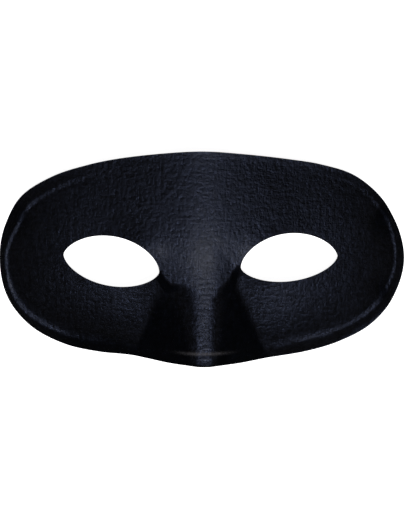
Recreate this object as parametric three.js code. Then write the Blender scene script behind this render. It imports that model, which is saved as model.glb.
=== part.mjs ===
// A moulded half mask for the eyes: one thin shell of cloth pressed on a stiffener, lying on
// its side edges with the face up. Millimetres, +X across the face, +Y to the brow, +Z forward.
import * as THREE from 'three';

const thickness = 1.2;

// The face wraps round a head as an arc, and bows back towards the brow and the cheeks.
const halfWidth = 85;
const wrapRadius = 119.5;
const browStart = 8.5;
const browSlope = 0.31;
const browBend = 13.5;
const cheekStart = 7;
const cheekReach = 35;
const cheekDrop = { left: 9.3, right: 7.2 };
const cheekPower = 3;

// The nose is a rounded crest that rises to its tip at the bottom edge. Its brow spreads from
// the crest over both eyes.
const noseX = 0.8;
const bridgeY = 0.3;
const bridgeHeight = 43.2;
const tipSlope = 0.275;
const foreheadSlope = 0.3;
const profileBend = 17.5;
const crestRadius = 5.8;
const crestPower = 3;
const browWall = 0.2;
const browBlend = 3.2;

// Its walls meet the cheeks along a foot line that spreads from the bridge to the tip. They
// start with a shallow share of their fall beside the bridge.
const footAway = { left: 15.2, right: 10.2 };
const footSpread = { left: 0.37, right: 0.41 };
const leastFoot = 6;
const footBlend = { left: 2.7, right: 2.4 };
const wallTop = { left: -8, right: -5 };
const wallFull = { left: -14, right: -11 };
const earlyShare = { left: 0.18, right: 0.28 };
const earlyTop = { left: 8, right: 10 };

// The right wall starts lower towards the crest, and both start higher beyond their foot.
const wallSlant = { left: 0, right: 0.6 };
const footLift = { left: 5.5, right: 4 };
const liftFrom = { left: -1, right: -3 };
const liftTo = { left: 2, right: 4 };

// The shell is fuller at the inner eye corners.
const cornerRise = { left: 6, right: 5.3 };
const cornerAway = 18;
const cornerY = 1.5;
const cornerWidth = 15;
const cornerHeight = 14;

// A fold sinks the shell between the inner eye corner and the cheek.
const foldAway = 20.5;
const foldWidth = 11.7;
const foldDepth = { left: 3.8, right: 2.8 };
const foldTop = 7;
const foldFull = -12;
const foldFade = 46;

// The cut edge, counter-clockwise from the bottom of the nose. It isn't quite even.
const outlinePoints = [
  [noseX, -43.2], [8, -43], [15.2, -42.5], [23.2, -41.5], [32.2, -40.2], [43.6, -38.2],
  [56.8, -34.3], [70.4, -27.1], [80.2, -15.8], [84.8, -1.2], [82.5, 12.8], [75, 25.5],
  [63.3, 34.8], [49.2, 39.1], [36.2, 41], [16.4, 42.9], [noseX, 43.8], [-16.1, 43.1],
  [-35.7, 41.1], [-47.9, 38.7], [-62.2, 34.3], [-75.8, 26], [-83.2, 13], [-85, -1.6],
  [-81.6, -16.1], [-71.9, -27.9], [-57.8, -35.4], [-43.6, -38.6], [-31.4, -39.8], [-22.4, -41.1],
  [-14.5, -42.3], [-7, -43],
];
const topIndex = 16;
const outlineSteps = 320;

// Each eye hole is a leaned almond, deeper above its middle line than below it.
const eyes = {
  left: { x: -37.3, y: -1.7, half: 20.2, rise: 10.9, sink: 9.3, lean: 10.8 },
  right: { x: 35.8, y: -1.1, half: 20.2, rise: 11.5, sink: 8, lean: 7.2 },
};
const cornerPower = 1.25;
const eyeFan = 1.3;

// A bead runs inside the edge, off centre because the blank was trimmed a little low. A groove
// follows its inner side, and a lip turns down outside it.
const beadInset = 2.4;
const beadShift = { x: 0.65, y: -1.5 };
const beadHeight = 0.55;
const beadWidth = 0.95;
const grooveInset = 1.7;
const grooveDepth = 0.5;
const grooveWidth = 1;
const lipSlope = { brow: 0.3, cheek: 0.7 };
const lipBend = 1.5;

// Both side edges are level for a short stretch, so that the mask lies without rocking.
const restBottom = -12;
const restTop = 16;
const restFade = 6;
const restReach = 14;
const restSide = { from: 42, to: 64 };

// Mesh density: points round half the mask, rings next to the edge and rings beyond them.
const edgeSteps = 44;
const crestSteps = 18;
const beadRings = [0, grooveInset / 2, grooveInset, 3, 5.2];
const crestRings = [0, 1, 2, 3.1, 4.4, 6, 8.2];
const innerRings = 7;
const normalStep = 0.2;

function ramp(value, from, to) {
  const t = Math.min(Math.max((value - from) / (to - from), 0), 1);
  return t * t * (3 - 2 * t);
}

function mix(a, b, t) {
  return a + (b - a) * t;
}

// A line that starts level and bends into a constant slope.
function bend(distance, slope, softness) {
  return slope * (Math.hypot(distance, softness) - softness);
}

function bell(distance, width) {
  return Math.exp(-((distance / width) ** 2));
}

function crestHeight(y) {
  const away = y - bridgeY;
  if (away < 0) {
    return bridgeHeight + bend(away, tipSlope, profileBend);
  }
  return bridgeHeight - bend(away, foreheadSlope, profileBend);
}

// How far the head arc has fallen at a distance from the middle.
function wrapDrop(x) {
  return wrapRadius - Math.sqrt(wrapRadius ** 2 - x * x);
}

function sideOf(x) {
  return x < noseX ? 'left' : 'right';
}

// The distance from the crest, rounded off near it.
function roundedAway(away) {
  return (away ** crestPower + crestRadius ** crestPower) ** (1 / crestPower) - crestRadius;
}

// What two heights that meet within a blend share, which rounds the corner between them.
function blendShare(a, b, blend) {
  return (blend * Math.max(1 - Math.abs(a - b) / blend, 0) ** 3) / 6;
}

function faceHeight(x, y) {
  const side = sideOf(x);
  const wrap = wrapDrop(halfWidth) - wrapDrop(x);
  const brow = bend(Math.max(y - browStart, 0), browSlope, browBend);
  const below = Math.max(cheekStart - y, 0) / cheekReach;
  const cheek = cheekDrop[side] * below ** cheekPower;
  const away = Math.abs(x - noseX);
  const sunk = ramp(y, foldTop, foldFull) * bell(Math.min(y - foldFull, 0), foldFade);
  const fold = foldDepth[side] * sunk * bell(away - foldAway, foldWidth);
  const corner = bell(away - cornerAway, cornerWidth) * bell(y - cornerY, cornerHeight);
  return wrap - brow - cheek - fold + cornerRise[side] * corner;
}

// The share of its fall that the nose wall has at a height on the face.
function wallShare(side, away, foot, y) {
  const slant = wallSlant[side] * Math.min(away - foot, 0);
  const lift = footLift[side] * ramp(away - foot, liftFrom[side], liftTo[side]);
  const early = ramp(y, earlyTop[side], wallTop[side]);
  const late = ramp(y - slant - lift, wallTop[side], wallFull[side]);
  return mix(late, early, earlyShare[side]);
}

// What the nose wall falls by at a distance from the crest, beyond the slope of the brow.
function wallFall(x, y) {
  const side = sideOf(x);
  const away = Math.abs(x - noseX);
  const foot = Math.max(footAway[side] - footSpread[side] * y, leastFoot);
  const footX = side === 'left' ? noseX - foot : noseX + foot;
  const whole = crestHeight(y) - wrapDrop(footX) - faceHeight(footX, y);
  const [here, there] = [roundedAway(away), roundedAway(foot)];
  const slope = Math.max(whole / there - browWall, 0);
  const reach = Math.min(here, there) - blendShare(here, there, footBlend[side]);
  return slope * reach * wallShare(side, away, foot, y);
}

function maskHeight(x, y) {
  const crest = crestHeight(y) - wrapDrop(x);
  const nose = crest - browWall * roundedAway(Math.abs(x - noseX)) - wallFall(x, y);
  const face = faceHeight(x, y);
  return Math.max(nose, face) + blendShare(nose, face, browBlend);
}

// How far in from the edge the bead runs, by the direction of the edge.
function beadLine(direction) {
  return beadInset + beadShift.x * Math.cos(direction) + beadShift.y * Math.sin(direction);
}

// Height added near the edge, from the distance in from the cut and the direction of the edge.
function rimRelief(inset, direction, withBead) {
  const across = inset - beadLine(direction);
  const turn = Math.sin(direction);
  const slope = turn > 0 ? lipSlope.brow * turn : -lipSlope.cheek * turn;
  const lip = -bend(Math.min(across, 0), slope, lipBend);
  if (!withBead) {
    return lip;
  }
  const bead = beadHeight * bell(across, beadWidth);
  const groove = grooveDepth * bell(across - grooveInset, grooveWidth);
  return lip + bead - groove;
}

// Points spread evenly along a finely sampled line.
function spread(samples, steps) {
  const lengths = [0];
  for (let i = 1; i < samples.length; i += 1) {
    lengths.push(lengths[i - 1] + samples[i].distanceTo(samples[i - 1]));
  }
  const points = [];
  let at = 0;
  for (let step = 0; step <= steps; step += 1) {
    const goal = (lengths[lengths.length - 1] * step) / steps;
    while (at < samples.length - 2 && lengths[at + 1] < goal) {
      at += 1;
    }
    const share = (goal - lengths[at]) / (lengths[at + 1] - lengths[at]);
    points.push(samples[at].clone().lerp(samples[at + 1], Math.min(share, 1)));
  }
  return points;
}

const outlineCurve = new THREE.CatmullRomCurve3(
  outlinePoints.map(([x, y]) => new THREE.Vector3(x, y, 0)),
  true,
);
const outlineSamples = outlineCurve.getPoints(outlineSteps).slice(0, outlineSteps);

function nearestEdge(x, y) {
  let best = Infinity;
  for (let i = 0; i < outlineSamples.length; i += 1) {
    const a = outlineSamples[i];
    const b = outlineSamples[(i + 1) % outlineSamples.length];
    const ab = { x: b.x - a.x, y: b.y - a.y };
    const along = ((x - a.x) * ab.x + (y - a.y) * ab.y) / (ab.x ** 2 + ab.y ** 2);
    const t = Math.min(Math.max(along, 0), 1);
    best = Math.min(best, Math.hypot(x - a.x - ab.x * t, y - a.y - ab.y * t));
  }
  return best;
}

// The side edges would touch the ground at one point each; this lowers them to a level stretch.
function restDrop(x, y, inset, edge) {
  const stretch = ramp(y, restBottom - restFade, restBottom) * ramp(y, restTop + restFade, restTop);
  const near = ramp(inset, restReach, 0) * ramp(Math.abs(x), restSide.from, restSide.to);
  return edge * stretch * near;
}

function edgeHeight(point) {
  return maskHeight(point.x, point.y) + rimRelief(0, Math.atan2(point.y, point.x), true);
}

function sideEdgeHeight(x, y) {
  let best = outlineSamples[0];
  for (const sample of outlineSamples) {
    if (sample.x * x > 0 && Math.abs(sample.y - y) < Math.abs(best.y - y)) {
      best = sample;
    }
  }
  return edgeHeight(best);
}

function frontHeight(x, y, withBead) {
  const inset = nearestEdge(x, y);
  const relief = rimRelief(inset, Math.atan2(y, x), withBead);
  return maskHeight(x, y) + relief - restDrop(x, y, inset, sideEdgeHeight(x, y));
}

function eyePoint(eye, side, turn) {
  const along = eye.half * Math.cos(turn);
  const bulge = Math.sin(turn) > 0 ? eye.rise : -eye.sink;
  const across = bulge * Math.abs(Math.sin(turn)) ** cornerPower;
  const lean = THREE.MathUtils.degToRad(eye.lean);
  return new THREE.Vector3(
    eye.x + side * (along * Math.cos(lean) - across * Math.sin(lean)),
    eye.y + along * Math.sin(lean) + across * Math.cos(lean),
    0,
  );
}

function at(from, to, distance) {
  return from.clone().lerp(to, distance / from.distanceTo(to));
}

// Ring distances from the edge: the bead's lip and crest first, then its inner side.
function edgeRings(point) {
  const line = beadLine(Math.atan2(point.y, point.x));
  return [0, line / 2, ...beadRings.map((distance) => line + distance)];
}

// The border of one half: the cut edge from the nose round to the brow, then down the crest.
function halfBorder(side) {
  const count = outlineSamples.length;
  const topSample = Math.round((topIndex / outlinePoints.length) * count);
  const right = outlineSamples.slice(0, topSample + 1);
  const left = [...outlineSamples.slice(topSample), outlineSamples[0]].reverse();
  const edge = spread(side > 0 ? right : left, edgeSteps);
  const [bottom, top] = [edge[0], edge[edgeSteps]];
  const fromTop = edgeRings(top).slice(1).map((distance) => at(top, bottom, distance));
  const fromBottom = edgeRings(bottom).slice(1).map((distance) => at(bottom, top, distance));
  const middle = spread([fromTop.at(-1), fromBottom.at(-1)], crestSteps).slice(1, -1);
  return [...edge, ...fromTop, ...middle, ...fromBottom.reverse()];
}

// The eye loop has a point for each border point, with a point on both corners.
function eyeLoop(eye, side, border) {
  const lean = THREE.MathUtils.degToRad(eye.lean);
  const turns = border.map((point) => {
    const dx = side * (point.x - eye.x);
    const dy = point.y - eye.y;
    const along = dx * Math.cos(lean) + dy * Math.sin(lean);
    const across = dy * Math.cos(lean) - dx * Math.sin(lean);
    return Math.atan2(across * eyeFan, along);
  });
  for (const corner of [0, Math.PI]) {
    const gaps = turns.map((turn) => Math.abs(Math.sin(turn / 2 - corner / 2)));
    turns[gaps.indexOf(Math.min(...gaps))] = corner;
  }
  return turns.map((turn) => eyePoint(eye, side, turn));
}

// Rings keep a fixed distance from the border near it, and share the rest of the way evenly.
function ringPoints(border, eye) {
  return border.map((start, i) => {
    const reach = start.distanceTo(eye[i]);
    const rings = i <= edgeSteps ? edgeRings(start) : crestRings;
    const column = rings.map((distance) => distance * Math.min(1, reach / (2 * rings.at(-1))));
    const begin = column.at(-1);
    for (let ring = 1; ring <= innerRings; ring += 1) {
      column.push(mix(begin, reach, ring / innerRings));
    }
    return column.map((distance) => start.clone().lerp(eye[i], distance / reach));
  });
}

function surfaceNormal(x, y) {
  const dx = frontHeight(x + normalStep, y, false) - frontHeight(x - normalStep, y, false);
  const dy = frontHeight(x, y + normalStep, false) - frontHeight(x, y - normalStep, false);
  return new THREE.Vector3(-dx, -dy, 2 * normalStep).normalize();
}

// The way through the shell: square to it, level where a square way would dip under the ground,
// and straight down at the eye holes, which are punched.
function wayThrough(front, normal, atEye) {
  if (atEye) {
    return new THREE.Vector3(0, 0, thickness / normal.z);
  }
  if (front.z > thickness) {
    return normal.clone().multiplyScalar(thickness);
  }
  const outward = new THREE.Vector2(normal.x, normal.y);
  const lean = outward.length();
  const down = Math.min(thickness * normal.z, Math.max(front.z, 0));
  const level = (thickness - down * normal.z) / lean;
  outward.multiplyScalar(level / lean);
  return new THREE.Vector3(outward.x, outward.y, down);
}

function shellGeometry() {
  const front = [];
  const back = [];
  const triangles = [];
  const seen = new Map();

  function vertex(point, kind) {
    const key = `${point.x.toFixed(4)} ${point.y.toFixed(4)}`;
    if (!seen.has(key)) {
      const outer = new THREE.Vector3(point.x, point.y, frontHeight(point.x, point.y, true));
      const resting = Math.abs(point.x) > restSide.from && point.y > restBottom && point.y < restTop;
      if (kind === 'edge') {
        outer.z = resting ? 0 : Math.max(outer.z, 0);
      }
      const normal = surfaceNormal(point.x, point.y);
      seen.set(key, front.length);
      front.push(outer);
      const base = outer.clone();
      if (kind === 'inside') {
        base.z = frontHeight(point.x, point.y, false);
      }
      back.push(base.sub(wayThrough(base.clone(), normal, kind === 'eye')));
    }
    return seen.get(key);
  }

  // A quad is split along the diagonal whose middle lies nearer the true surface.
  function quad(a, b, c, d) {
    const middle = [a, b, c, d].reduce((sum, i) => sum.add(front[i]), new THREE.Vector3());
    middle.divideScalar(4);
    const height = frontHeight(middle.x, middle.y, true);
    const miss = (i, j) => Math.abs((front[i].z + front[j].z) / 2 - height);
    const faces = miss(a, c) < miss(b, d) ? [[a, b, c], [a, c, d]] : [[a, b, d], [b, c, d]];
    triangles.push(...faces);
  }

  const rims = [];
  for (const side of [-1, 1]) {
    const border = halfBorder(side);
    const eye = eyeLoop(side < 0 ? eyes.left : eyes.right, side, border);
    const columns = ringPoints(border, eye);
    const total = border.length;
    const grid = columns.map((column, i) => column.map((point, ring) => {
      const atEdge = ring === 0 && i <= edgeSteps;
      const atEye = ring === column.length - 1;
      return vertex(point, atEdge ? 'edge' : atEye ? 'eye' : 'inside');
    }));
    for (let i = 0; i < total; i += 1) {
      const near = grid[i];
      const next = grid[(i + 1) % total];
      for (let ring = 0; ring < near.length - 1; ring += 1) {
        const [a, b] = side > 0 ? [near, next] : [next, near];
        quad(a[ring], b[ring], b[ring + 1], a[ring + 1]);
      }
      rims.push([near[near.length - 1], next[next.length - 1], side < 0]);
      if (i < edgeSteps) {
        rims.push([near[0], next[0], side > 0]);
      }
    }
  }

  const offset = front.length;
  const faces = [...triangles];
  for (const [a, b, c] of triangles) {
    faces.push([a + offset, c + offset, b + offset]);
  }
  for (const [a, b, outward] of rims) {
    const [from, to] = outward ? [a, b] : [b, a];
    faces.push([from, from + offset, to + offset], [from, to + offset, to]);
  }
  const positions = [...front, ...back].flatMap((point) => point.toArray());
  const geometry = new THREE.BufferGeometry();
  geometry.setAttribute('position', new THREE.Float32BufferAttribute(positions, 3));
  geometry.setIndex(faces.flat());
  return geometry;
}

function centred(geometry) {
  geometry.computeBoundingBox();
  const { min, max } = geometry.boundingBox;
  geometry.translate(-(min.x + max.x) / 2, -(min.y + max.y) / 2, -min.z);
  geometry.computeVertexNormals();
  return geometry;
}

const blackCloth = new THREE.MeshStandardMaterial({
  color: 0x14161d,
  roughness: 0.62,
  metalness: 0,
});

const shell = new THREE.Mesh(centred(shellGeometry()), blackCloth);
shell.name = 'mask_shell';

const mask = new THREE.Group();
mask.add(shell);

export default mask;
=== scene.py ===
import math

import bpy
import numpy as np
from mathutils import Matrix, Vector


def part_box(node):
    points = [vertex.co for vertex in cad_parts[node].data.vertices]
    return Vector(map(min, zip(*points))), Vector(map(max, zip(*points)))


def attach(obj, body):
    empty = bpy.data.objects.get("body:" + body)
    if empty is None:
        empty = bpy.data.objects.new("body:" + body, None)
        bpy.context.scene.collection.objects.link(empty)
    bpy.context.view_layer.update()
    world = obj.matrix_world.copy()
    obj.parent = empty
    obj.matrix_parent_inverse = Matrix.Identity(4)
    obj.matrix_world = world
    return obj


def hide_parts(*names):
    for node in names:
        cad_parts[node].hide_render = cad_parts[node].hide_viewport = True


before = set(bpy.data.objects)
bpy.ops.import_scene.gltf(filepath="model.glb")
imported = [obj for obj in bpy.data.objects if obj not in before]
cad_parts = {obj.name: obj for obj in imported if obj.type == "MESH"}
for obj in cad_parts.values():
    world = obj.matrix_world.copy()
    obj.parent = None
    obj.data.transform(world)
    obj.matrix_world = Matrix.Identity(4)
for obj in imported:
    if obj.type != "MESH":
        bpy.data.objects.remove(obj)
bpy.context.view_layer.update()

mm = 0.001
print("frame loaded")


# Node trees

class Field:  # a number inside a node tree, so that a formula in nodes reads as a formula
    def __init__(self, tree, socket):
        self.tree = tree
        self.socket = socket

    def calc(self, operation, *others):
        return calc(self.tree, operation, self, *others)

    def __add__(self, other):
        return self.calc("ADD", other)

    def __sub__(self, other):
        return self.calc("SUBTRACT", other)

    def __mul__(self, other):
        return self.calc("MULTIPLY", other)

    def __truediv__(self, other):
        return self.calc("DIVIDE", other)

    def __pow__(self, other):
        return self.calc("POWER", other)

    def __abs__(self):
        return self.calc("ABSOLUTE")

    def __neg__(self):
        return self.calc("MULTIPLY", -1.0)


def plug(tree, value, socket):  # links a value from the tree, or sets a constant
    value = value.socket if isinstance(value, Field) else value
    if isinstance(value, bpy.types.NodeSocket):
        tree.links.new(value, socket)
    else:
        socket.default_value = value


def calc(tree, operation, *values):
    made = tree.nodes.new("ShaderNodeMath")
    made.operation = operation
    for value, socket in zip(values, made.inputs):
        plug(tree, value, socket)
    return Field(tree, made.outputs[0])


def vectorCalc(tree, operation, *values):
    made = tree.nodes.new("ShaderNodeVectorMath")
    made.operation = operation
    for value, socket in zip(values, made.inputs):
        plug(tree, value, socket)
    return made.outputs["Vector"]


def addNode(tree, kind, settings=None, inputs=None):
    made = tree.nodes.new(kind)
    for name, value in (settings or {}).items():
        setattr(made, name, value)
    for name, value in (inputs or {}).items():
        plug(tree, value, made.inputs[name])
    return made


def newTree(name, inputs, outputs):  # inputs: name to (socket kind, default)
    tree = bpy.data.node_groups.new(name, "GeometryNodeTree")
    for label, (kind, default) in inputs.items():
        socket = tree.interface.new_socket(label, in_out="INPUT", socket_type="NodeSocket" + kind)
        if default is not None:
            socket.default_value = default
    for label, kind in outputs.items():
        tree.interface.new_socket(label, in_out="OUTPUT", socket_type="NodeSocket" + kind)
    return tree, tree.nodes.new("NodeGroupInput"), tree.nodes.new("NodeGroupOutput")


def keepAttribute(tree, geometry, name, kind, value, domain="POINT"):
    made = addNode(tree, "GeometryNodeStoreNamedAttribute", {"data_type": kind, "domain": domain},
                   {"Geometry": geometry, "Name": name, "Value": value})
    return made.outputs["Geometry"]


def readAttribute(tree, name, kind="FLOAT"):
    made = addNode(tree, "GeometryNodeInputNamedAttribute", {"data_type": kind}, {"Name": name})
    return Field(tree, made.outputs["Attribute"])


def useGroup(tree, group, source, **values):  # fills the inputs given, and the rest by name from source
    made = addNode(tree, "GeometryNodeGroup", {"node_tree": group})
    for socket in made.inputs:
        if socket.name in values:
            plug(tree, values[socket.name], socket)
        elif socket.name in source.outputs:
            tree.links.new(source.outputs[socket.name], socket)
    return made


def ramp(value, start, end):  # smooth step from 0 at start to 1 at end
    made = addNode(value.tree, "ShaderNodeMapRange", {"interpolation_type": "SMOOTHSTEP"})
    for field, label in ((value, "Value"), (start, "From Min"), (end, "From Max")):
        plug(value.tree, field, made.inputs[label])
    return Field(value.tree, made.outputs["Result"])


def mix(low, high, share):
    return low + (high - low) * share


def bend(distance, slope, softness):  # starts level and bends into a constant slope
    return ((distance ** 2 + softness ** 2) ** 0.5 - softness) * slope


def bell(distance, width):
    return calc(distance.tree, "EXPONENT", -((distance / width) ** 2))


# The mask shell

maskShell = {
    "thickness": 1.2 * mm,
    "half width": 85 * mm,
    "wrap radius": 119.5 * mm,  # arc of the head across the face
    "brow start": 8.5 * mm,
    "brow slope": 0.31,
    "brow bend": 13.5 * mm,
    "cheek start": 7 * mm,
    "cheek reach": 35 * mm,
    "left cheek drop": 9.3 * mm,
    "right cheek drop": 7.2 * mm,
    "nose x": 0.8 * mm,
    "bridge y": 0.3 * mm,
    "bridge height": 43.2 * mm,
    "tip slope": 0.275,
    "forehead slope": 0.3,
    "profile bend": 17.5 * mm,
    "crest radius": 5.8 * mm,
    "brow wall": 0.2,
    "brow blend": 3.2 * mm,
    "left foot": 14.4 * mm,  # from the crest to where the nose wall meets the cheek
    "right foot": 9.6 * mm,
    "left spread": 0.37,
    "right spread": 0.41,
    "least foot": 6 * mm,
    "left foot blend": 2.7 * mm,
    "right foot blend": 2.4 * mm,
    "left wall top": -9.5 * mm,
    "right wall top": -6 * mm,
    "left wall full": -14 * mm,
    "right wall full": -11 * mm,
    "left wall slant": 0.0,  # how far the wall starts lower towards the crest
    "right wall slant": 0.6,
    "left foot lift": 6 * mm,  # the wall starts higher beyond its foot
    "right foot lift": 4 * mm,
    "left lift from": -5 * mm,
    "right lift from": -3 * mm,
    "left lift to": 4 * mm,
    "right lift to": 4 * mm,
    "left early share": 0.18,
    "right early share": 0.28,
    "left early top": 8 * mm,
    "right early top": 10 * mm,
    "left corner rise": 6 * mm,
    "right corner rise": 5.3 * mm,
    "corner away": 21 * mm,
    "corner y": 1.5 * mm,
    "corner width": 15 * mm,
    "corner height": 14 * mm,
    "fold away": 20.5 * mm,
    "fold width": 11.7 * mm,
    "left fold depth": 3.8 * mm,
    "right fold depth": 2.8 * mm,
    "fold top": 7 * mm,
    "fold full": -12 * mm,
    "fold fade": 46 * mm,
    "groove inset": 1.7 * mm,  # from the bead, where the bead is as wide as the groove
    "groove width": 1 * mm,
    "lip bend": 1.5 * mm,
    "edge fade": 1 * mm,  # the bead and the felt's grain run out this near the cut edge
    "felt height": 0.25 * mm,  # slow unevenness of the cloth over the felt
    "felt size": 3 * mm,
    "wear from": 0.62,  # upright share of the normal where the painted highlight on faces that look up begins
    "wear to": 0.74,
    "wear share": 0.03,
    "rub inset": 4.9 * mm,  # a thin painted glint line along the rim under the nose
    "rub width": 0.55 * mm,
    "rub from": -36 * mm,
    "rub to": -39 * mm,
    "rub reach": 8 * mm,
    "rest bottom": -12 * mm,
    "rest top": 16 * mm,
    "rest fade": 9 * mm,
    "rest reach": 14 * mm,
    "rest from": 42 * mm,
    "rest to": 64 * mm,
}

maskOutline = [  # the cut edge in mm, counter-clockwise from the bottom of the nose
    (0.8, -43.2), (8, -43), (15.2, -42.5), (23.2, -41.5), (32.2, -40.2), (43.6, -38.2),
    (56.8, -34.3), (70.4, -27.1), (80.2, -15.8), (84.8, -1.2), (82.5, 12.8), (75, 25.5),
    (63.3, 34.8), (49.2, 39.1), (36.2, 41), (16.4, 42.9), (0.8, 43.8), (-16.1, 43.1),
    (-35.7, 41.1), (-47.9, 38.7), (-62.2, 34.3), (-75.8, 26), (-83.2, 13), (-85, -1.6),
    (-81.6, -16.1), (-71.9, -27.9), (-57.8, -35.4), (-43.6, -38.6), (-31.4, -39.8), (-22.4, -41.1),
    (-14.5, -42.3), (-7, -43),
]
outlineTop = 16  # the outline point at the top of the brow

# the rim at directions in degrees round the mask: how far in the bead lies, its width and height
# and the depth of the groove behind it, all in mm, and the slope of the lip outside it
rimStations = [
    {"at": -180, "inset": 2.1, "width": 1.3, "height": 1.3, "groove": 0, "lip": -0.1},
    {"at": -168, "inset": 2, "width": 1.6, "height": 2, "groove": 0, "lip": -0.15},
    {"at": -156, "inset": 2.8, "width": 2.3, "height": 2.2, "groove": 0, "lip": -0.2},
    {"at": -144, "inset": 3, "width": 2.3, "height": 1.5, "groove": 0, "lip": -0.15},
    {"at": -132, "inset": 3, "width": 1.5, "height": 0.3, "groove": 0, "lip": 0.1},
    {"at": -102, "inset": 3, "width": 0.8, "height": 0.1, "groove": 0, "lip": -0.15},
    {"at": -90, "inset": 3, "width": 0.8, "height": 0.2, "groove": 0, "lip": -0.2},
    {"at": -78, "inset": 3, "width": 0.8, "height": 0.2, "groove": 0, "lip": -0.2},
    {"at": -60, "inset": 3, "width": 1.5, "height": 0.1, "groove": 0, "lip": 0},
    {"at": -48, "inset": 3.3, "width": 2.2, "height": 0.95, "groove": 0, "lip": -0.2},
    {"at": -36, "inset": 3.8, "width": 2.2, "height": 1.6, "groove": 0, "lip": -0.5},
    {"at": -24, "inset": 4, "width": 1.7, "height": 1.15, "groove": 0, "lip": -0.6},
    {"at": -12, "inset": 3.4, "width": 1.5, "height": 1.2, "groove": 0.2, "lip": -0.45},
    {"at": 0, "inset": 3.1, "width": 1, "height": 0.5, "groove": 0.4, "lip": -0.15},
    {"at": 12, "inset": 2.1, "width": 1.4, "height": 1, "groove": 0.3, "lip": -0.2},
    {"at": 24, "inset": 2.4, "width": 1.4, "height": 0.15, "groove": 0.1, "lip": -0.25},
    {"at": 50, "inset": 4, "width": 1.5, "height": 0.05, "groove": 0, "lip": -0.2},
    {"at": 84, "inset": 4, "width": 1.5, "height": 0.05, "groove": 0, "lip": -0.12},
    {"at": 140, "inset": 3.2, "width": 1.5, "height": 0.08, "groove": 0, "lip": -0.1},
    {"at": 156, "inset": 4.6, "width": 1.3, "height": 0.45, "groove": 0.2, "lip": 0},
    {"at": 168, "inset": 4.5, "width": 1.5, "height": 1.6, "groove": 0.1, "lip": 0},
]

eyeHoles = {  # centre, half length, height above and below, all in mm, and lean in degrees
    -1: {"x": -37.3, "y": -1.7, "half": 20.2, "rise": 10.9, "sink": 9.3, "lean": 10.8},
    1: {"x": 35.8, "y": -1.1, "half": 20.2, "rise": 11.5, "sink": 8, "lean": 7.2},
}

eyeTaper = 1.25  # above 1 the corners of the eye holes come to a point

blankGrid = {
    "edgeSteps": 300,
    "crestSteps": 90,
    "crestEndSteps": 18,
    "rimDepth": 8,  # mm with close rings, for the rim
    "rimRings": 17,
    "innerRings": 24,
    "eyeSpread": 1.3,  # spreads the points evenly round the long holes
}
blankSpan = 200  # mm of blank that the UV map spans


def smoothLoop(points, perSpan=40):  # a rounded closed line through the points
    points = np.array(points, float)
    out = []
    for i in range(len(points)):
        a, b, c, d = (points[(i + k) % len(points)] for k in (-1, 0, 1, 2))
        ab, bc, cd = (math.sqrt(np.linalg.norm(q - p)) for p, q in ((a, b), (b, c), (c, d)))
        leave = ((b - a) / ab - (c - a) / (ab + bc) + (c - b) / bc) * bc
        arrive = ((c - b) / bc - (d - b) / (bc + cd) + (d - c) / cd) * bc
        t = np.arange(perSpan)[:, None] / perSpan
        out.append(b + leave * t + (3 * (c - b) - 2 * leave - arrive) * t ** 2
                   + (2 * (b - c) + leave + arrive) * t ** 3)
    return np.concatenate(out)


def spread(line, steps):  # evenly spaced points along a line
    lengths = np.concatenate([[0], np.cumsum(np.linalg.norm(np.diff(line, axis=0), axis=1))])
    goals = np.linspace(0, lengths[-1], steps + 1)
    return np.stack([np.interp(goals, lengths, line[:, k]) for k in (0, 1)], axis=1)


def halfBorder(loop, side):  # the cut edge from nose to brow, then back down the crest
    top = outlineTop * len(loop) // len(maskOutline)
    half = loop[:top + 1] if side > 0 else np.concatenate([loop[top:], loop[:1]])[::-1]
    edge = spread(half, blankGrid["edgeSteps"])
    crest = np.array([edge[-1], edge[0]])
    reach = np.linalg.norm(crest[1] - crest[0])
    close = np.linspace(0, blankGrid["rimDepth"], blankGrid["crestEndSteps"] + 1) / reach
    share = np.concatenate([
        close, np.linspace(close[-1], 1 - close[-1], blankGrid["crestSteps"] + 1)[1:-1],
        1 - close[::-1]])[1:-1, None]
    return np.concatenate([edge, crest[0] + (crest[1] - crest[0]) * share])


def eyeLoop(eye, side, border):  # one point of the eye hole for each point of the border
    lean = math.radians(eye["lean"])
    dx, dy = side * (border[:, 0] - eye["x"]), border[:, 1] - eye["y"]
    along = dx * math.cos(lean) + dy * math.sin(lean)
    across = dy * math.cos(lean) - dx * math.sin(lean)
    turn = np.arctan2(across * blankGrid["eyeSpread"], along)
    for corner in (0, math.pi):
        turn[np.argmin(abs(np.sin((turn - corner) / 2)))] = corner
    along = eye["half"] * np.cos(turn)
    across = np.where(np.sin(turn) > 0, eye["rise"], -eye["sink"]) * abs(np.sin(turn)) ** eyeTaper
    return np.stack([eye["x"] + side * (along * math.cos(lean) - across * math.sin(lean)),
                     eye["y"] + along * math.sin(lean) + across * math.cos(lean)], axis=1)


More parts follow.
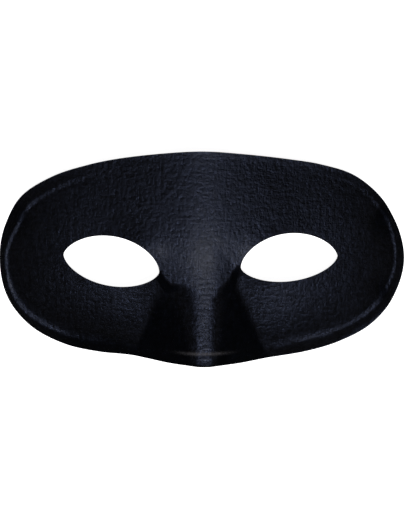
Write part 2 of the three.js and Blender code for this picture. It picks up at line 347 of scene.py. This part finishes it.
def flatBlank():  # the mask cut out flat, as rings from the cut edge and the crest to each eye hole
    loop = smoothLoop(maskOutline)
    points, faces, atEye = [], [], []
    for side in (-1, 1):
        border = halfBorder(loop, side)
        eye = eyeLoop(eyeHoles[side], side, border)
        reach = np.linalg.norm(eye - border, axis=1)
        depth = np.minimum(blankGrid["rimDepth"], reach / 2)
        near = np.linspace(0, 1, blankGrid["rimRings"], endpoint=False)[:, None] * depth
        far = np.linspace(0, 1, blankGrid["innerRings"] + 1)[:, None] * (reach - depth) + depth
        way = np.concatenate([near, far]) / reach
        rings, count = way.shape
        start = sum(len(p) for p in points)
        points.append((border + (eye - border) * way[:, :, None]).reshape(-1, 2))
        atEye.append(np.repeat(np.arange(rings) == rings - 1, count))
        here = start + np.arange(rings * count).reshape(rings, count)
        there = np.roll(here, -1, axis=1)
        quads = np.stack([here[:-1], there[:-1], there[1:], here[1:]], axis=-1).reshape(-1, 4)
        faces.append(quads if side > 0 else quads[:, ::-1])
    points, atEye, faces = (np.concatenate(part) for part in (points, atEye, faces))
    mesh = bpy.data.meshes.new("flatBlank")
    mesh.from_pydata([(x * mm, y * mm, 0) for x, y in points], [], faces.tolist())
    mesh.attributes.new("at eye", "FLOAT", "POINT").data.foreach_set("value", atEye.astype(float))
    uvMap = mesh.uv_layers.new(name="cloth")  # the cloth lies flat in it
    order = np.empty(len(mesh.loops), dtype=int)
    mesh.loops.foreach_get("vertex_index", order)
    uvMap.data.foreach_set("uv", (points[order] / blankSpan + 0.5).ravel())
    blank = bpy.data.objects.new("flatBlank", mesh)
    edge = bpy.data.meshes.new("cutEdge")
    edge.from_pydata([(x * mm, y * mm, 0) for x, y in loop],
                     [(i, (i + 1) % len(loop)) for i in range(len(loop))], [])
    cutEdge = bpy.data.objects.new("cutEdge", edge)
    for made in (blank, cutEdge):
        bpy.context.scene.collection.objects.link(made)
    return blank, cutEdge


def sizeInputs(names):
    return {name: ("Float", maskShell[name]) for name in names}


def sizes(tree, source, *names):
    return [Field(tree, source.outputs[name]) for name in names]


def sizeNames(*starts):
    return [name for name in maskShell if name.startswith(starts)]


rimSizes = sizeNames("groove", "lip")
layerSizes = sizeNames("thickness", "edge", "felt", "rest", "wear", "rub")
formSizes = [name for name in maskShell if name not in rimSizes + layerSizes]


def blendShare(first, second, blend):  # rounds the corner where two heights meet
    near = (-(abs(first - second) / blend) + 1.0).calc("MAXIMUM", 0.0)
    return blend * near ** 3 / 6


def faceFormGroup():  # height of the pressed face over a point of the blank
    tree, source, result = newTree(
        "faceForm", {"Position": ("Vector", None), **sizeInputs(formSizes)}, {"Height": "Float"})
    place = addNode(tree, "ShaderNodeSeparateXYZ", inputs={"Vector": source.outputs["Position"]})
    x, y = Field(tree, place.outputs["X"]), Field(tree, place.outputs["Y"])
    radius, halfWidth, noseX = sizes(tree, source, "wrap radius", "half width", "nose x")
    isRight = x.calc("GREATER_THAN", noseX)
    away = abs(x - noseX)

    def sided(name):
        return mix(*sizes(tree, source, "left " + name, "right " + name), isRight)

    def wrapDrop(distance):
        return radius - (radius ** 2 - distance ** 2) ** 0.5

    crestRadius, = sizes(tree, source, "crest radius")

    def roundedAway(distance):
        return (distance ** 3 + crestRadius ** 3) ** (1 / 3) - crestRadius

    browStart, browSlope, browBend, cheekStart, cheekReach = sizes(
        tree, source, "brow start", "brow slope", "brow bend", "cheek start", "cheek reach")
    foldAway, foldWidth, foldFade = sizes(tree, source, "fold away", "fold width", "fold fade")
    wallTop, wallFull = sided("wall top"), sided("wall full")
    foldTop, foldFull = sizes(tree, source, "fold top", "fold full")
    sinking = ramp(y, foldTop, foldFull) * bell((y - foldFull).calc("MINIMUM", 0.0), foldFade)
    brow = bend((y - browStart).calc("MAXIMUM", 0.0), browSlope, browBend)
    cheek = ((cheekStart - y).calc("MAXIMUM", 0.0) / cheekReach) ** 3 * sided("cheek drop")
    cornerAway, cornerY, cornerWidth, cornerHeight = sizes(
        tree, source, "corner away", "corner y", "corner width", "corner height")
    cornerRise = sided("corner rise")
    sunk = sided("fold depth") * sinking

    def faceHeight(acrossX, distance):
        fold = sunk * bell(distance - foldAway, foldWidth)
        corner = cornerRise * bell(distance - cornerAway, cornerWidth) * bell(y - cornerY, cornerHeight)
        return wrapDrop(halfWidth) - wrapDrop(acrossX) - brow - cheek - fold + corner

    bridgeY, bridgeHeight, tipSlope, foreheadSlope, profileBend = sizes(
        tree, source, "bridge y", "bridge height", "tip slope", "forehead slope", "profile bend")
    up = y - bridgeY
    rise = bend(up, tipSlope, profileBend)
    fall = bend(up, foreheadSlope, profileBend)
    crest = bridgeHeight + mix(rise, -fall, up.calc("GREATER_THAN", 0.0))

    browWall, browBlend, leastFoot = sizes(tree, source, "brow wall", "brow blend", "least foot")
    foot = (sided("foot") - sided("spread") * y).calc("MAXIMUM", leastFoot)
    footX = noseX + foot * (isRight * 2.0 - 1.0)
    here, there = roundedAway(away), roundedAway(foot)
    whole = crest - wrapDrop(footX) - faceHeight(footX, foot)
    slope = (whole / there - browWall).calc("MAXIMUM", 0.0)
    reach = here.calc("MINIMUM", there) - blendShare(here, there, sided("foot blend"))
    slant = sided("wall slant") * (away - foot).calc("MINIMUM", 0.0)
    lift = sided("foot lift") * ramp(away - foot, sided("lift from"), sided("lift to"))
    early = ramp(y, sided("early top"), wallTop)
    late = ramp(y - slant - lift, wallTop, wallFull)
    wall = slope * reach * mix(late, early, sided("early share"))
    nose = crest - wrapDrop(x) - browWall * here - wall
    face = faceHeight(x, away)
    height = nose.calc("MAXIMUM", face) + blendShare(nose, face, browBlend)
    plug(tree, height, result.inputs["Height"])
    return tree


def rimFormGroup():  # what the rim adds to the height, from the distance in from the cut edge
    tree, source, result = newTree(
        "rimForm", {"Position": ("Vector", None), "Inset": ("Float", 0.0), **sizeInputs(rimSizes)},
        {"Lip": "Float", "Bead": "Float"})
    place = addNode(tree, "ShaderNodeSeparateXYZ", inputs={"Vector": source.outputs["Position"]})
    x, y = Field(tree, place.outputs["X"]), Field(tree, place.outputs["Y"])
    inset = Field(tree, source.outputs["Inset"])
    direction = y.calc("ARCTAN2", x)
    stations = [*rimStations, {**rimStations[0], "at": 180}]
    spans = list(zip(stations, stations[1:]))
    passed = [ramp(direction, math.radians(here["at"]), math.radians(there["at"]))
              for here, there in spans]

    def around(name):  # runs smoothly from station to station
        changes = [share * (there[name] - here[name])
                   for share, (here, there) in zip(passed, spans)]
        return sum(changes[1:], changes[0]) + rimStations[0][name]

    grooveInset, grooveWidth, lipBend = sizes(tree, source, "groove inset", "groove width", "lip bend")
    across = inset - around("inset") * mm
    beadWidth = around("width") * mm
    lip = -bend(across.calc("MINIMUM", 0.0), around("lip"), lipBend)
    grooveAway = across - grooveInset - (beadWidth - grooveWidth)
    bead = around("height") * bell(across, beadWidth)
    groove = around("groove") * bell(grooveAway, grooveWidth)
    plug(tree, lip, result.inputs["Lip"])
    plug(tree, (bead - groove) * mm, result.inputs["Bead"])
    return tree


noiseScale = 0.5  # a wave of noise spans two cells, so each blot fills about one
noiseRoughness = 0.6
weldDistance = 0.001 * mm
leastSlope = 0.02  # keeps the way through the shell steady where the face is level
clothLayers = {  # share of the thickness that each layer takes, from the face inwards
    "face cloth": 0.3,
    "stiffener": 0.5,
    "backing": 0.2,
}


def pressedMaskTree(materials):  # presses the flat blank, then builds the layers behind it
    tree, source, result = newTree(
        "pressedMask",
        {"Blank": ("Geometry", None), "Cut Edge": ("Object", None),
         **sizeInputs(formSizes + rimSizes + layerSizes)},
        {"Shell": "Geometry"})
    faceForm, rimForm = faceFormGroup(), rimFormGroup()
    position = tree.nodes.new("GeometryNodeInputPosition").outputs[0]
    edge = addNode(tree, "GeometryNodeObjectInfo", inputs={"Object": source.outputs["Cut Edge"]})
    nearest = addNode(tree, "GeometryNodeProximity", {"target_element": "EDGES"},
                      {"Geometry": edge.outputs["Geometry"]})
    inset = Field(tree, nearest.outputs["Distance"])

    form = useGroup(tree, faceForm, source, Position=position)
    rim = useGroup(tree, rimForm, source, Position=position, Inset=inset)
    edgeForm = useGroup(tree, faceForm, source, Position=nearest.outputs["Position"])
    edgeRim = useGroup(tree, rimForm, source, Position=nearest.outputs["Position"], Inset=0.0)
    edgeHeight = Field(tree, edgeForm.outputs["Height"]) + Field(tree, edgeRim.outputs["Lip"])

    # the side edges come down to a level stretch that the mask lies on
    edgePlace = addNode(tree, "ShaderNodeSeparateXYZ", inputs={"Vector": nearest.outputs["Position"]})
    edgeX, edgeY = (Field(tree, edgePlace.outputs[axis]) for axis in "XY")
    bottom, top, fade, reach, restFrom, restTo = sizes(
        tree, source, "rest bottom", "rest top", "rest fade", "rest reach", "rest from", "rest to")
    stretch = ramp(edgeY, bottom - fade, bottom) * ramp(edgeY, top + fade, top)
    stretch = stretch * ramp(abs(edgeX), restFrom, restTo)
    drop = edgeHeight * stretch * ramp(inset, reach, 0.0)

    smoothHeight = Field(tree, form.outputs["Height"]) + Field(tree, rim.outputs["Lip"]) - drop
    lift = addNode(tree, "ShaderNodeCombineXYZ", inputs={"Z": smoothHeight})
    edgeFade, = sizes(tree, source, "edge fade")
    beadHeight = Field(tree, rim.outputs["Bead"]) * ramp(inset, 0.0, edgeFade)
    blank = keepAttribute(tree, source.outputs["Blank"], "inset", "FLOAT", inset)
    blank = keepAttribute(tree, blank, "bead height", "FLOAT", beadHeight)
    raised = addNode(tree, "GeometryNodeSetPosition",
                     inputs={"Geometry": blank, "Offset": lift.outputs[0]})
    pressed = addNode(tree, "GeometryNodeMergeByDistance",
                      inputs={"Geometry": raised.outputs[0], "Distance": weldDistance})

    # the way through the shell: square to it, but level at the ground and plumb at the eye holes
    normal = tree.nodes.new("GeometryNodeInputNormal").outputs[0]
    lean = addNode(tree, "ShaderNodeSeparateXYZ", inputs={"Vector": normal})
    normalX, normalY, normalZ = (Field(tree, lean.outputs[axis]) for axis in "XYZ")
    front = addNode(tree, "ShaderNodeSeparateXYZ", inputs={"Vector": position})
    thickness, = sizes(tree, source, "thickness")
    sideways = (normalX ** 2 + normalY ** 2) ** 0.5
    down = (thickness * normalZ).calc("MINIMUM", Field(tree, front.outputs["Z"]).calc("MAXIMUM", 0.0))
    level = (thickness - down * normalZ) / (sideways.calc("MAXIMUM", leastSlope) ** 2)
    square = addNode(tree, "ShaderNodeCombineXYZ",
                     inputs={"X": normalX * level, "Y": normalY * level, "Z": down})
    plumb = addNode(tree, "ShaderNodeCombineXYZ", inputs={"Z": thickness / normalZ})
    wayIn = addNode(tree, "ShaderNodeMix", {"data_type": "VECTOR"})
    plug(tree, readAttribute(tree, "at eye"), wayIn.inputs[0])
    plug(tree, square.outputs[0], wayIn.inputs[4])
    plug(tree, plumb.outputs[0], wayIn.inputs[5])
    formed = keepAttribute(tree, pressed.outputs[0], "way in", "FLOAT_VECTOR", wayIn.outputs[1])

    # painted highlight: the cloth's colour is lighter where the face looks up, and a painted glint line
    # runs along the rim under the nose
    paintedSheenFrom, paintedSheenTo, paintedSheenShare, paintedGlintInset, paintedGlintWidth, paintedGlintFrom, paintedGlintTo, paintedGlintReach, noseX = sizes(
        tree, source, "wear from", "wear to", "wear share", "rub inset", "rub width", "rub from",
        "rub to", "rub reach", "nose x")
    frontX, frontY = Field(tree, front.outputs["X"]), Field(tree, front.outputs["Y"])
    kept = {name: readAttribute(tree, name) for name in ("inset", "bead height")}
    rub = bell(kept["inset"] - paintedGlintInset, paintedGlintWidth)
    rub = rub * ramp(frontY, paintedGlintFrom, paintedGlintTo) * bell(frontX - noseX, paintedGlintReach)
    wear = ramp(normalZ, paintedSheenFrom, paintedSheenTo) * paintedSheenShare + rub
    highlightPainted = keepAttribute(tree, formed, "wear", "FLOAT", wear)

    # the face: bead, and the slight unevenness of cloth over felt
    feltSize, feltHeight = sizes(tree, source, "felt size", "felt height")
    felt = addNode(tree, "ShaderNodeTexNoise", {"noise_dimensions": "3D"},
                   {"Scale": calc(tree, "DIVIDE", 1.0, feltSize), "Detail": 2.0,
                    "Roughness": noiseRoughness})
    feltLift = (Field(tree, felt.outputs["Fac"]) - 0.5) * feltHeight
    feltLift = feltLift * ramp(kept["inset"], 0.0, edgeFade)
    faceLift = addNode(tree, "ShaderNodeCombineXYZ", inputs={"Z": kept["bead height"] + feltLift})
    faceSheet = addNode(tree, "GeometryNodeSetPosition",
                        inputs={"Geometry": highlightPainted, "Offset": faceLift.outputs[0]})
    sheets = [addNode(tree, "GeometryNodeSetMaterial",
                      inputs={"Geometry": faceSheet.outputs[0], "Material": materials["face cloth"]})]

    # each layer is pulled out of the one before it, and keeps its own cut edge
    way = readAttribute(tree, "way in", "FLOAT_VECTOR")
    moving = formed
    for layer, share in clothLayers.items():
        step = addNode(tree, "GeometryNodeExtrudeMesh", {"mode": "FACES"},
                       {"Mesh": moving, "Offset Scale": 0.0, "Individual": False})
        pulled = keepAttribute(tree, step.outputs["Mesh"], "on top", "BOOLEAN",
                               step.outputs["Top"], "FACE")
        isTop = readAttribute(tree, "on top", "BOOLEAN")
        back = vectorCalc(tree, "SCALE", way)
        plug(tree, -share, back.node.inputs["Scale"])
        moved = addNode(tree, "GeometryNodeSetPosition",
                        inputs={"Geometry": pulled, "Selection": isTop, "Offset": back})
        parts = addNode(tree, "GeometryNodeSeparateGeometry", {"domain": "FACE"},
                        {"Geometry": moved.outputs[0], "Selection": isTop})
        sheets.append(addNode(tree, "GeometryNodeSetMaterial",
                              inputs={"Geometry": parts.outputs["Inverted"],
                                      "Material": materials[layer]}))
        moving = parts.outputs["Selection"]
    sheets.append(addNode(tree, "GeometryNodeSetMaterial",
                          inputs={"Geometry": moving, "Material": materials["backing"]}))
    joined = addNode(tree, "GeometryNodeJoinGeometry")
    for sheet in sheets:
        tree.links.new(sheet.outputs[0], joined.inputs[0])
    closed = addNode(tree, "GeometryNodeMergeByDistance",
                     inputs={"Geometry": joined.outputs[0], "Distance": weldDistance})
    solid = addNode(tree, "GeometryNodeRealizeInstances", inputs={"Geometry": closed.outputs[0]})
    plug(tree, solid.outputs[0], result.inputs["Shell"])
    return tree


# Materials

clothFinish = {
    "thread pitch": 0.5,  # mm between threads
    "thread wander": 0.8,
    "slub": 0.75,  # mm, width of the thicker stretches of thread
    "slub length": 2.2,
    "weft shift": 40.0,  # cells, so that the slubs of warp and weft differ
    "speck": 0.7,  # mm, size of the uneven specks
    "patch": 9.0,  # mm, size of the duller and glossier patches
    "patch share": 0.12,
    "lie": {"grain": 0.8, "threads": 0.3, "patches": 0.2, "level": 0.25},  # how far the cloth stands up
    "colours": [(0.25, (0.0001, 0.00013, 0.0002)), (0.75, (0.0002, 0.00025, 0.0004))],  # by its lie
    "rubbed": (0.065, 0.06, 0.062, 1.0),  # colour of the painted highlight
    "rub specks": 2.0,  # how far the specks break the painted highlight up
    "roughness": 0.42,
    "least roughness": 0.3,
    "unevenness": 0.46,  # how far the grain changes the roughness
    "gloss": 0.40,
    "gloss tint": (0.45, 0.56, 1.0, 1.0),
    "coat": 0.22,  # the pressed tops of the threads
    "coat roughness": 0.40,
    "relief": 0.38,  # mm
    "coat relief": 0.17,  # mm
    "thread relief": 0.25,  # the threads' share beside the grain
}


def newMaterial(name):
    material = bpy.data.materials.new(name)
    material.use_nodes = True
    tree = material.node_tree
    return material, tree, tree.nodes["Principled BSDF"]


def clothPlace(tree, across, along, shift=0.0):  # the flat cloth in cells of this size in mm
    place = addNode(tree, "ShaderNodeUVMap", {"uv_map": "cloth"})
    return vectorCalc(tree, "MULTIPLY_ADD", place.outputs["UV"],
                      (blankSpan / across, blankSpan / along, 1.0), (shift, shift, 0.0))


def clothNoise(tree, across, along, shift=0.0):
    return addNode(tree, "ShaderNodeTexNoise", {"noise_dimensions": "2D"}, {
        "Vector": clothPlace(tree, across, along, shift), "Scale": noiseScale, "Detail": 1.0,
        "Roughness": noiseRoughness})


threadForm = {
    "wander reach": 4,  # threads that wander together
    "roundness": 0.6,  # below 1 the threads are broader and flatter on top
}


def clothThreads(tree, pitch, wander):  # a plain weave: each thread goes over and under by turns
    reach = pitch * threadForm["wander reach"]
    wandered = vectorCalc(tree, "MULTIPLY_ADD", clothNoise(tree, reach, reach).outputs["Color"],
                          (wander,) * 3, clothPlace(tree, pitch, pitch))
    turns = vectorCalc(tree, "SCALE", wandered)
    plug(tree, math.pi, turns.node.inputs["Scale"])
    split = addNode(tree, "ShaderNodeSeparateXYZ", inputs={"Vector": turns})
    warp = Field(tree, split.outputs["X"]).calc("SINE")
    weft = Field(tree, split.outputs["Y"]).calc("SINE")
    over = warp * weft * 0.5
    rounded = [abs(thread) ** threadForm["roundness"] for thread in (warp, weft)]
    return (rounded[0] * (over + 0.5)).calc("MAXIMUM", rounded[1] * (-over + 0.5))


speckRoughness = 0.65


def speckle(tree, size, detail=3.0):  # uneven specks of the given size in mm
    place = addNode(tree, "ShaderNodeTexCoord")
    specks = addNode(tree, "ShaderNodeTexNoise", inputs={
        "Vector": place.outputs["Object"], "Scale": noiseScale / (size * mm), "Detail": detail,
        "Roughness": speckRoughness})
    return Field(tree, specks.outputs["Fac"])


def colourRamp(tree, share, stops):  # from one colour to the other
    made = addNode(tree, "ShaderNodeValToRGB", inputs={"Fac": share})
    for element, (position, colour) in zip(made.color_ramp.elements, stops):
        element.position, element.color = position, (*colour, 1.0)
    return made.outputs["Color"]


def faceClothMaterial():
    material, tree, surface = newMaterial("blackWovenCloth")
    threads = clothThreads(tree, clothFinish["thread pitch"], clothFinish["thread wander"])
    slub, slubLength = clothFinish["slub"], clothFinish["slub length"]
    slubs = [clothNoise(tree, slub, slubLength),
             clothNoise(tree, slubLength, slub, clothFinish["weft shift"])]
    warpSlubs, weftSlubs = (Field(tree, noise.outputs["Fac"]) * 0.5 for noise in slubs)
    specks = speckle(tree, clothFinish["speck"])
    patches = speckle(tree, clothFinish["patch"], detail=2.0)
    grain = warpSlubs + weftSlubs + specks - 1.0
    shares = clothFinish["lie"]
    lie = grain * shares["grain"] + threads * shares["threads"]
    lie = lie + patches * shares["patches"] + shares["level"]
    colour = colourRamp(tree, lie, clothFinish["colours"])
    # painted highlight: a lighter colour mixed into the cloth where the face looks up and along the rim
    # under the nose
    wear = addNode(tree, "ShaderNodeAttribute", {"attribute_name": "wear"})
    rubbed = addNode(tree, "ShaderNodeMix", {"data_type": "RGBA"})
    highlightPainted = Field(tree, wear.outputs["Fac"]) * (specks * clothFinish["rub specks"])
    plug(tree, highlightPainted, rubbed.inputs[0])
    plug(tree, colour, rubbed.inputs[6])
    plug(tree, clothFinish["rubbed"], rubbed.inputs[7])
    tree.links.new(rubbed.outputs[2], surface.inputs["Base Color"])
    roughness = grain * clothFinish["unevenness"] + (patches - 0.5) * clothFinish["patch share"]
    roughness = (roughness + clothFinish["roughness"]).calc("MAXIMUM", clothFinish["least roughness"])
    plug(tree, roughness, surface.inputs["Roughness"])
    surface.inputs["Specular IOR Level"].default_value = clothFinish["gloss"]
    surface.inputs["Specular Tint"].default_value = clothFinish["gloss tint"]
    surface.inputs["Coat Weight"].default_value = clothFinish["coat"]
    surface.inputs["Coat Roughness"].default_value = clothFinish["coat roughness"]
    height = threads * clothFinish["thread relief"] + grain
    for depth, normal in (("relief", "Normal"), ("coat relief", "Coat Normal")):
        relief = addNode(tree, "ShaderNodeBump", inputs={
            "Strength": 1.0, "Distance": clothFinish[depth] * mm, "Height": height})
        tree.links.new(relief.outputs["Normal"], surface.inputs[normal])
    return material


def plainFinish(tree, surface, finish, colour, height):  # a dull material with one relief
    tree.links.new(colour, surface.inputs["Base Color"])
    surface.inputs["Roughness"].default_value = finish["roughness"]
    surface.inputs["Specular IOR Level"].default_value = finish["gloss"]
    relief = addNode(tree, "ShaderNodeBump", inputs={
        "Strength": finish["strength"], "Distance": finish["relief"] * mm, "Height": height})
    tree.links.new(relief.outputs["Normal"], surface.inputs["Normal"])


feltFinish = {
    "speck": 0.25,  # mm
    "colours": [(0.35, (0.006, 0.006, 0.007)), (0.7, (0.020, 0.020, 0.022))],
    "roughness": 0.9,
    "gloss": 0.2,
    "strength": 0.7,
    "relief": 0.08,  # mm
}


def stiffenerMaterial():
    material, tree, surface = newMaterial("pressedFelt")
    specks = speckle(tree, feltFinish["speck"])
    plainFinish(tree, surface, feltFinish, colourRamp(tree, specks, feltFinish["colours"]), specks)
    return material


backingFinish = {
    "thread pitch": 0.8,  # mm between threads
    "thread wander": 0.5,
    "speck": 1.2,  # mm
    "colours": [(0.3, (0.008, 0.008, 0.010)), (0.7, (0.020, 0.020, 0.024))],
    "colour shares": (0.4, 0.6),  # of the threads and the specks
    "relief shares": (0.7, 0.5),
    "roughness": 0.85,
    "gloss": 0.25,
    "strength": 0.6,
    "relief": 0.12,  # mm
}


def backingMaterial():
    material, tree, surface = newMaterial("plainBacking")
    threads = clothThreads(tree, backingFinish["thread pitch"], backingFinish["thread wander"])
    specks = speckle(tree, backingFinish["speck"])
    lie, height = (threads * backingFinish[name][0] + specks * backingFinish[name][1]
                   for name in ("colour shares", "relief shares"))
    plainFinish(tree, surface, backingFinish, colourRamp(tree, lie, backingFinish["colours"]), height)
    return material


clothMaterials = {
    "face cloth": faceClothMaterial(),
    "stiffener": stiffenerMaterial(),
    "backing": backingMaterial(),
}
print("materials made")


# Building the shell

def runTree(carrier, tree, values):  # runs a node tree on an object and keeps the result as a mesh
    modifier = carrier.modifiers.new(tree.name, "NODES")
    modifier.node_group = tree
    for socket in tree.interface.items_tree:
        if socket.item_type == "SOCKET" and socket.in_out == "INPUT" and socket.name in values:
            modifier[socket.identifier] = values[socket.name]
    graph = bpy.context.evaluated_depsgraph_get()
    mesh = bpy.data.meshes.new_from_object(
        carrier.evaluated_get(graph), preserve_all_data_layers=True, depsgraph=graph)
    carrier.modifiers.remove(modifier)
    return mesh


def addPiece(name, mesh):
    piece = bpy.data.objects.new(name, mesh)
    bpy.context.scene.collection.objects.link(piece)
    mesh.name = name
    return piece


def centreOn(mesh, low, high):  # over the middle of the box, standing on its floor
    points = np.empty(len(mesh.vertices) * 3)
    mesh.vertices.foreach_get("co", points)
    points = points.reshape(-1, 3)
    middle = (points.min(axis=0) + points.max(axis=0)) / 2
    shift = np.array([(low[0] + high[0]) / 2 - middle[0], (low[1] + high[1]) / 2 - middle[1],
                      low[2] - points[:, 2].min()])
    mesh.vertices.foreach_set("co", (points + shift).ravel())
    return shift


flatBlankObject, cutEdgeObject = flatBlank()
pressTree = pressedMaskTree(clothMaterials)
shellMesh = runTree(flatBlankObject, pressTree, {"Cut Edge": cutEdgeObject})
shellShift = centreOn(shellMesh, *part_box("mask_shell"))
maskFace = addPiece("pressed_mask", shellMesh)
print("shell pressed:", len(shellMesh.polygons), "faces, moved", (shellShift / mm).round(2).tolist())

for helper in (flatBlankObject, cutEdgeObject):
    bpy.data.objects.remove(helper)
for polygon in shellMesh.polygons:
    polygon.use_smooth = True
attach(maskFace, "root")
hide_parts("mask_shell")


# Floor, light and camera

studio = {
    "floor": (0.92, 0.92, 0.92, 1.0),
    "floor reach": 3,  # m each way
    "floor roughness": 0.9,
    "floor gloss": 0.1,
    "floor glow": 0.97,  # a lit table, so that its shadows stay pale
    "key power": 21.2,
    "key size": 0.16,
    "key place": (0.08, -0.17, 1.6),
    "world": 0.01,
}


def addFloor():
    mesh = bpy.data.meshes.new("studioFloor")
    far = studio["floor reach"]
    corners = [(-far, -far, 0), (far, -far, 0), (far, far, 0), (-far, far, 0)]
    mesh.from_pydata(corners, [], [(0, 1, 2, 3)])
    floor = bpy.data.objects.new("studioFloor", mesh)
    bpy.context.scene.collection.objects.link(floor)
    material, tree, surface = newMaterial("paleFloor")
    surface.inputs["Base Color"].default_value = studio["floor"]
    surface.inputs["Roughness"].default_value = studio["floor roughness"]
    surface.inputs["Specular IOR Level"].default_value = studio["floor gloss"]
    surface.inputs["Emission Color"].default_value = (1, 1, 1, 1)
    surface.inputs["Emission Strength"].default_value = studio["floor glow"]
    mesh.materials.append(material)
    floor.visible_glossy = False  # the floor stays out of the sheen of the cloth


def addLight(name, place, aim, size, power):
    lamp = bpy.data.lights.new(name, "AREA")
    lamp.shape, lamp.size, lamp.energy = "DISK", size, power
    made = bpy.data.objects.new(name, lamp)
    made.location = place
    made.rotation_euler = (Vector(aim) - Vector(place)).to_track_quat("-Z", "Y").to_euler()
    bpy.context.scene.collection.objects.link(made)


addFloor()
addLight("keyLight", studio["key place"], (0, 0, 0), studio["key size"], studio["key power"])
world = bpy.data.worlds.new("studioWorld")
world.use_nodes = True
world.node_tree.nodes["Background"].inputs["Strength"].default_value = studio["world"]
world.node_tree.nodes["Background"].inputs["Color"].default_value = (1, 1, 1, 1)
bpy.context.scene.world = world
bpy.context.scene.view_settings.view_transform = "Standard"

cameraView = {
    "place": (0.00027, -0.00153, 1.2),
    "lens": 196.0,
    "sensor": 36.0,
    "clip": (0.05, 20.0),
}
cameraData = bpy.data.cameras.new("photoCamera")
cameraData.sensor_width, cameraData.lens = cameraView["sensor"], cameraView["lens"]
cameraData.clip_start, cameraData.clip_end = cameraView["clip"]
camera = bpy.data.objects.new("photoCamera", cameraData)
camera.location = cameraView["place"]
bpy.context.scene.collection.objects.link(camera)
bpy.context.scene.camera = camera
print("studio ready")
